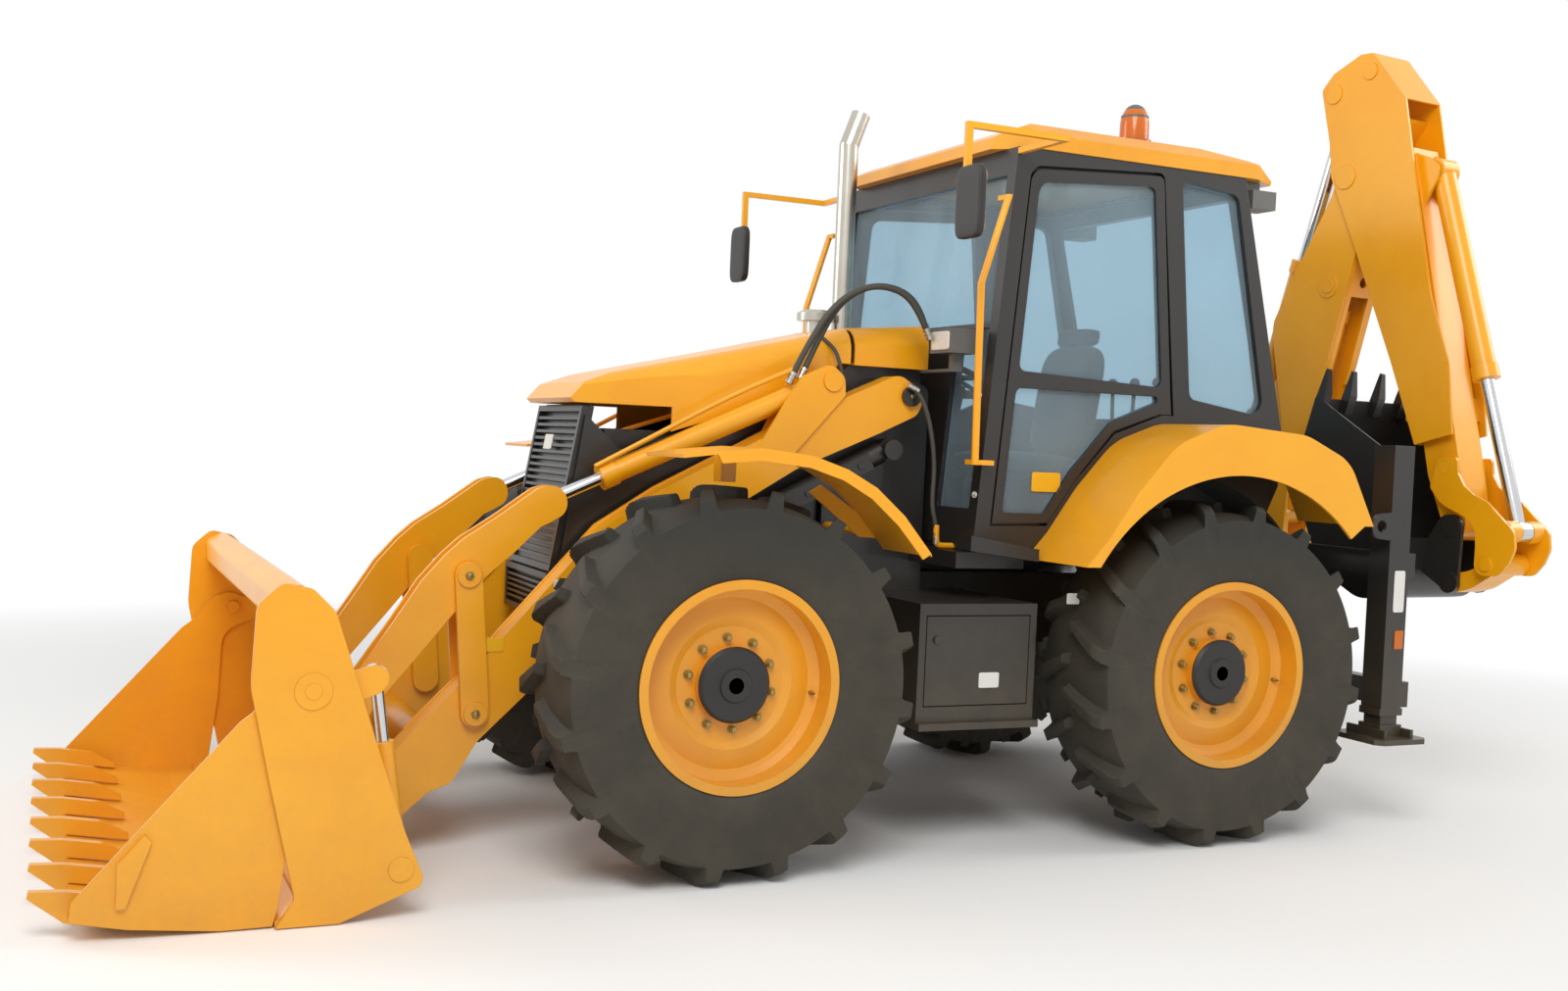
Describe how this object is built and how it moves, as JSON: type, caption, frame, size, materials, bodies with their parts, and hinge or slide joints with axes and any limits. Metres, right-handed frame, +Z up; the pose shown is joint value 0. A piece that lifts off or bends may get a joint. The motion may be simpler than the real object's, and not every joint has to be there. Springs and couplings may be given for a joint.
{
  "type": "backhoe loader",
  "caption": "Wheeled loader with a clamshell front bucket, glazed cab, sliding rear carriage and a folding backhoe with its own bucket",
  "frame": {"origin": "centre of the overall footprint, on the ground under the wheels", "axes": "+X forward towards the front bucket, +Y to the machine's left, +Z up"},
  "size_m": [6.1658, 2.5302, 3.5539],
  "materials": {
    "yellow_paint": "gloss enamel",
    "black_paint": "satin enamel",
    "grey_iron": "rough",
    "rim_paint": "satin",
    "tyre_rubber": "matte",
    "rod_chrome": "polished",
    "cab_glazing": "clear",
    "roof_plastic": "gloss",
    "trim_plastic": "matte",
    "seat_fabric": "woven",
    "lamp_plastic": "gloss"
  },
  "bodies": {
    "chassis": {"chassis_frame": "black_paint", "engine_block": "grey_iron", "axles": "black_paint", "engine_covers": "black_paint", "cowl": "yellow_paint", "exhaust_and_cleaner": "grey_iron", "fenders": "yellow_paint", "side_boxes": "black_paint", "cab_frame": "black_paint", "cab_glass": "cab_glazing", "cab_roof": "roof_plastic", "seat": "seat_fabric", "cab_controls": "trim_plastic", "lamps": "lamp_plastic", "mirrors_and_rails": "trim_plastic"},
    "knuckle_front_left": {"knuckle_front_left": "black_paint"},
    "wheel_front_left": {"rim_front_left": "rim_paint", "tyre_front_left": "tyre_rubber"},
    "knuckle_front_right": {"knuckle_front_right": "black_paint"},
    "wheel_front_right": {"rim_front_right": "rim_paint", "tyre_front_right": "tyre_rubber"},
    "knuckle_rear_left": {"knuckle_rear_left": "black_paint"},
    "wheel_rear_left": {"rim_rear_left": "rim_paint", "tyre_rear_left": "tyre_rubber"},
    "knuckle_rear_right": {"knuckle_rear_right": "black_paint"},
    "wheel_rear_right": {"rim_rear_right": "rim_paint", "tyre_rear_right": "tyre_rubber"},
    "loader_arms": {"loader_arms": "yellow_paint"},
    "bucket_levers": {"bucket_levers": "yellow_paint"},
    "long_links": {"long_links": "yellow_paint"},
    "front_bucket": {"front_bucket": "yellow_paint"},
    "front_jaw": {"front_jaw": "yellow_paint"},
    "lift_barrels": {"lift_barrels": "black_paint"},
    "lift_rods": {"lift_rods": "rod_chrome"},
    "tilt_barrels": {"tilt_barrels": "black_paint"},
    "tilt_rods": {"tilt_rods": "rod_chrome"},
    "clam_barrels": {"clam_barrels": "black_paint"},
    "clam_rods": {"clam_rods": "rod_chrome"},
    "door_left": {"door_left": "black_paint", "door_glass_left": "cab_glazing"},
    "door_right": {"door_right": "black_paint", "door_glass_right": "cab_glazing"},
    "bonnet": {"bonnet": "yellow_paint"},
    "locker_door": {"locker_door": "black_paint"},
    "stabiliser_left": {"stabiliser_left": "black_paint"},
    "stabiliser_right": {"stabiliser_right": "black_paint"},
    "carriage": {"carriage": "yellow_paint"},
    "kingpost": {"kingpost": "yellow_paint"},
    "boom": {"boom": "yellow_paint"},
    "dipper": {"dipper": "yellow_paint"},
    "inner_dipper": {"inner_dipper": "yellow_paint"},
    "dig_bucket": {"dig_bucket": "black_paint"},
    "tip_lever": {"tip_lever": "yellow_paint"},
    "tip_link": {"tip_link": "yellow_paint"},
    "boom_ram_barrel": {"boom_ram_barrel": "black_paint"},
    "boom_ram_rod": {"boom_ram_rod": "rod_chrome"},
    "dipper_ram_barrel": {"dipper_ram_barrel": "black_paint"},
    "dipper_ram_rod": {"dipper_ram_rod": "rod_chrome"},
    "bucket_ram_barrel": {"bucket_ram_barrel": "black_paint"},
    "bucket_ram_rod": {"bucket_ram_rod": "rod_chrome"}
  },
  "joints": [
    {"name": "steer_front_left", "type": "hinge", "parent": "chassis", "child": "knuckle_front_left", "pos_m": [0.8339, 0.67589, 0.69994], "axis": [0, 0, 1], "range_deg": [-20, 20]},
    {"name": "roll_front_left", "type": "hinge", "parent": "knuckle_front_left", "child": "wheel_front_left", "pos_m": [0.8339, 0.89089, 0.69994], "axis": [0, 1, 0], "continuous": true},
    {"name": "steer_front_right", "type": "hinge", "parent": "chassis", "child": "knuckle_front_right", "pos_m": [0.8339, -0.79411, 0.69994], "axis": [0, 0, 1], "range_deg": [-20, 20]},
    {"name": "roll_front_right", "type": "hinge", "parent": "knuckle_front_right", "child": "wheel_front_right", "pos_m": [0.8339, -1.00911, 0.69994], "axis": [0, 1, 0], "continuous": true},
    {"name": "steer_rear_left", "type": "hinge", "parent": "chassis", "child": "knuckle_rear_left", "pos_m": [-1.3361, 0.67589, 0.69994], "axis": [0, 0, 1], "range_deg": [-20, 20]},
    {"name": "roll_rear_left", "type": "hinge", "parent": "knuckle_rear_left", "child": "wheel_rear_left", "pos_m": [-1.3361, 0.89089, 0.69994], "axis": [0, 1, 0], "continuous": true},
    {"name": "steer_rear_right", "type": "hinge", "parent": "chassis", "child": "knuckle_rear_right", "pos_m": [-1.3361, -0.79411, 0.69994], "axis": [0, 0, 1], "range_deg": [-20, 20]},
    {"name": "roll_rear_right", "type": "hinge", "parent": "knuckle_rear_right", "child": "wheel_rear_right", "pos_m": [-1.3361, -1.00911, 0.69994], "axis": [0, 1, 0], "continuous": true},
    {"name": "loader_arms", "type": "hinge", "parent": "chassis", "child": "loader_arms", "pos_m": [-0.1561, -0.05911, 1.77994], "axis": [0, -1, 0], "range_deg": [-2, 76]},
    {"name": "lift_barrels", "type": "hinge", "parent": "chassis", "child": "lift_barrels", "pos_m": [-0.0811, -0.05911, 1.55694], "axis": [0, -1, 0], "range_deg": [-2.22, 76.96]},
    {"name": "lift_rods", "type": "slide", "parent": "lift_barrels", "child": "lift_rods", "axis": [0.8944, 0, -0.4472], "range_m": [-0.0095, 0.2876]},
    {"name": "front_bucket", "type": "hinge", "parent": "loader_arms", "child": "front_bucket", "pos_m": [1.9839, -0.05911, 0.21694], "axis": [0, -1, 0], "range_deg": [-110, 20]},
    {"name": "bucket_levers", "type": "hinge", "parent": "loader_arms", "child": "bucket_levers", "pos_m": [1.6159, -0.05911, 0.52394], "axis": [0, -1, 0], "range_deg": [-81.05, 14.9]},
    {"name": "long_links", "type": "hinge", "parent": "bucket_levers", "child": "long_links", "pos_m": [1.6569, -0.05911, 1.03194], "axis": [0, -1, 0], "range_deg": [-11.4, 61.8]},
    {"name": "tilt_barrels", "type": "hinge", "parent": "loader_arms", "child": "tilt_barrels", "pos_m": [0.2089, -0.05911, 1.82194], "axis": [0, -1, 0], "range_deg": [-0.49, 1.8]},
    {"name": "tilt_rods", "type": "slide", "parent": "tilt_barrels", "child": "tilt_rods", "axis": [0.912, 0, -0.4102], "range_m": [-0.1334, 0.7248]},
    {"name": "front_jaw", "type": "hinge", "parent": "front_bucket", "child": "front_jaw", "pos_m": [2.2989, -0.05911, 0.73594], "axis": [0, -1, 0], "range_deg": [0, 55]},
    {"name": "clam_barrels", "type": "hinge", "parent": "front_bucket", "child": "clam_barrels", "pos_m": [2.0109, -0.05911, 0.16194], "axis": [0, -1, 0], "range_deg": [-8.41, 0]},
    {"name": "clam_rods", "type": "slide", "parent": "clam_barrels", "child": "clam_rods", "axis": [0.1359, 0, 0.9907], "range_m": [-0.176, 0]},
    {"name": "door_left", "type": "hinge", "parent": "chassis", "child": "door_left", "pos_m": [-0.4479, 0.68589, 1.93194], "axis": [0.0795, 0, -0.9968], "range_deg": [0, 80]},
    {"name": "door_right", "type": "hinge", "parent": "chassis", "child": "door_right", "pos_m": [-0.4479, -0.80411, 1.93194], "axis": [-0.0795, 0, 0.9968], "range_deg": [0, 80]},
    {"name": "bonnet", "type": "hinge", "parent": "chassis", "child": "bonnet", "pos_m": [0.0609, -0.05911, 2.03594], "axis": [0, -1, 0], "range_deg": [0, 45]},
    {"name": "locker_door", "type": "hinge", "parent": "chassis", "child": "locker_door", "pos_m": [-0.0231, 0.87089, 0.74894], "axis": [0, 0, -1], "range_deg": [0, 110]},
    {"name": "stabiliser_left", "type": "slide", "parent": "chassis", "child": "stabiliser_left", "axis": [0, 0, -1], "range_m": [0, 0.55]},
    {"name": "stabiliser_right", "type": "slide", "parent": "chassis", "child": "stabiliser_right", "axis": [0, 0, -1], "range_m": [0, 0.55]},
    {"name": "carriage", "type": "slide", "parent": "chassis", "child": "carriage", "axis": [0, 1, 0], "range_m": [-0.231, 0.929]},
    {"name": "slew", "type": "hinge", "parent": "carriage", "child": "kingpost", "pos_m": [-2.6791, -0.40811, 0.85694], "axis": [0, 0, 1], "range_deg": [-5, 175]},
    {"name": "boom", "type": "hinge", "parent": "kingpost", "child": "boom", "pos_m": [-2.70481, -0.11424, 0.88194], "axis": [-0.9962, -0.0872, 0], "range_deg": [0, 125]},
    {"name": "boom_ram_barrel", "type": "hinge", "parent": "kingpost", "child": "boom_ram_barrel", "pos_m": [-2.70351, -0.12918, 1.32194], "axis": [-0.9962, -0.0872, 0], "range_deg": [0, 138.5]},
    {"name": "boom_ram_rod", "type": "slide", "parent": "boom_ram_barrel", "child": "boom_ram_rod", "axis": [-0.0204, 0.2329, 0.9723], "range_m": [0, 0.709]},
    {"name": "dipper", "type": "hinge", "parent": "boom", "child": "dipper", "pos_m": [-2.73462, 0.22646, 2.97594], "axis": [0.9962, 0.0872, 0], "range_deg": [0, 105]},
    {"name": "dipper_ram_barrel", "type": "hinge", "parent": "boom", "child": "dipper_ram_barrel", "pos_m": [-2.68346, -0.3583, 1.81194], "axis": [0.9962, 0.0872, 0], "range_deg": [0, 11.22]},
    {"name": "dipper_ram_rod", "type": "slide", "parent": "dipper_ram_barrel", "child": "dipper_ram_rod", "axis": [-0.026, 0.2967, 0.9546], "range_m": [-0.6406, 0]},
    {"name": "inner_dipper", "type": "slide", "parent": "dipper", "child": "inner_dipper", "axis": [-0.0199, 0.2271, -0.9737], "range_m": [0, 1.2]},
    {"name": "dig_bucket", "type": "hinge", "parent": "inner_dipper", "child": "dig_bucket", "pos_m": [-2.79502, 0.91682, 1.32194], "axis": [0.9962, 0.0872, 0], "range_deg": [0, 105]},
    {"name": "tip_lever", "type": "hinge", "parent": "inner_dipper", "child": "tip_lever", "pos_m": [-2.79145, 0.87598, 1.58894], "axis": [0.9962, 0.0872, 0], "range_deg": [0, 51.9]},
    {"name": "tip_link", "type": "hinge", "parent": "tip_lever", "child": "tip_link", "pos_m": [-2.81254, 1.11706, 1.16894], "axis": [0.9962, 0.0872, 0], "range_deg": [-33.48, 0]},
    {"name": "bucket_ram_barrel", "type": "hinge", "parent": "inner_dipper", "child": "bucket_ram_barrel", "pos_m": [-2.77436, 0.68073, 2.96794], "axis": [0.9962, 0.0872, 0], "range_deg": [0, 8.56]},
    {"name": "bucket_ram_rod", "type": "slide", "parent": "bucket_ram_barrel", "child": "bucket_ram_rod", "axis": [-0.0254, 0.2898, -0.9568], "range_m": [-0.2695, 0]}
  ],
  "couplings": [
    {"joint": "steer_front_right", "follows": "steer_front_left", "ratio": 1},
    {"joint": "steer_rear_right", "follows": "steer_rear_left", "ratio": 1},
    {"joint": "lift_barrels", "follows": "loader_arms", "ratio": 1.01},
    {"joint": "lift_rods", "follows": "loader_arms", "m_per_rad": 0.2153},
    {"joint": "bucket_levers", "follows": "front_bucket", "ratio": 0.735},
    {"joint": "long_links", "follows": "front_bucket", "ratio": -0.56},
    {"joint": "tilt_barrels", "follows": "front_bucket", "ratio": -0.014546},
    {"joint": "tilt_rods", "follows": "front_bucket", "m_per_rad": -0.37647},
    {"joint": "clam_barrels", "follows": "front_jaw", "ratio": -0.15283},
    {"joint": "clam_rods", "follows": "front_jaw", "m_per_rad": -0.18338},
    {"joint": "boom_ram_barrel", "follows": "boom", "ratio": 1.108},
    {"joint": "boom_ram_rod", "follows": "boom", "m_per_rad": 0.325},
    {"joint": "dipper_ram_barrel", "follows": "dipper", "ratio": 0.10682},
    {"joint": "dipper_ram_rod", "follows": "dipper", "m_per_rad": -0.34958},
    {"joint": "tip_lever", "follows": "dig_bucket", "ratio": 0.49427},
    {"joint": "tip_link", "follows": "dig_bucket", "ratio": -0.31887},
    {"joint": "bucket_ram_barrel", "follows": "dig_bucket", "ratio": 0.081533},
    {"joint": "bucket_ram_rod", "follows": "dig_bucket", "m_per_rad": -0.14705}
  ]
}
